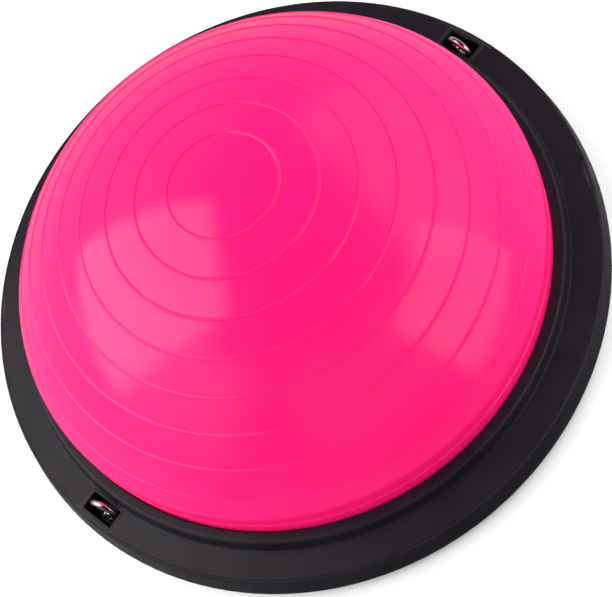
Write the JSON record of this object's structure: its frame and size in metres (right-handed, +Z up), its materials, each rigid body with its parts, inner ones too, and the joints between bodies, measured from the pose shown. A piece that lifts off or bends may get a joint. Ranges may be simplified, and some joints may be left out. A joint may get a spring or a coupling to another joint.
{
  "type": "balance dome trainer",
  "caption": "Inflatable half-ball balance trainer: a ribbed air dome clamped to a round flat base, with a hand ring in a pocket on each side.",
  "frame": {"origin": "middle of the footprint, on the floor under the rubber feet", "axes": "+Z up through the top of the dome; the hand ring pockets lie at +X and -X"},
  "size_m": [0.6, 0.6, 0.224],
  "materials": {
    "skin": "glossy soft PVC",
    "cover": "satin moulded plastic with a fine grain",
    "plate": "matte moulded plastic",
    "chrome": "polished chrome plate",
    "zinc": "zinc plated steel",
    "rubber": "matte black rubber",
    "plug": "soft white plastic"
  },
  "bodies": {
    "base": {"dome_bladder": "skin", "ring_cover": "cover", "base_plate": "plate", "valve_body": "rubber", "cover_screw_1": "zinc", "cover_screw_2": "zinc", "cover_screw_3": "zinc", "cover_screw_4": "zinc", "cover_screw_5": "zinc", "cover_screw_6": "zinc", "cover_screw_7": "zinc", "cover_screw_8": "zinc", "cover_screw_9": "zinc", "cover_screw_10": "zinc", "cover_screw_11": "zinc", "cover_screw_12": "zinc", "rubber_foot_1": "rubber", "rubber_foot_2": "rubber", "rubber_foot_3": "rubber", "rubber_foot_4": "rubber", "rubber_foot_5": "rubber", "rubber_foot_6": "rubber", "rubber_foot_7": "rubber", "rubber_foot_8": "rubber", "pocket_cup_right": "cover", "eye_bolt_right": "chrome", "eye_washer_right": "zinc", "eye_nut_right": "zinc", "pocket_cup_left": "cover", "eye_bolt_left": "chrome", "eye_washer_left": "zinc", "eye_nut_left": "zinc"},
    "ring_right": {"hand_ring_right": "chrome"},
    "ring_left": {"hand_ring_left": "chrome"},
    "plug": {"valve_plug": "plug"}
  },
  "joints": [
    {"name": "hand_ring_right_swing", "type": "hinge", "parent": "base", "child": "ring_right", "pos_m": [0.27899, 0, 0.0167], "axis": [0.0698, 0.9976, 0], "range_deg": [0, 18]},
    {"name": "hand_ring_left_swing", "type": "hinge", "parent": "base", "child": "ring_left", "pos_m": [-0.27899, 0, 0.0167], "axis": [0.2079, -0.9781, 0], "range_deg": [0, 18]},
    {"name": "valve_plug_pull", "type": "slide", "parent": "base", "child": "plug", "axis": [0, 0, -1], "range_m": [0, 0.016]}
  ]
}
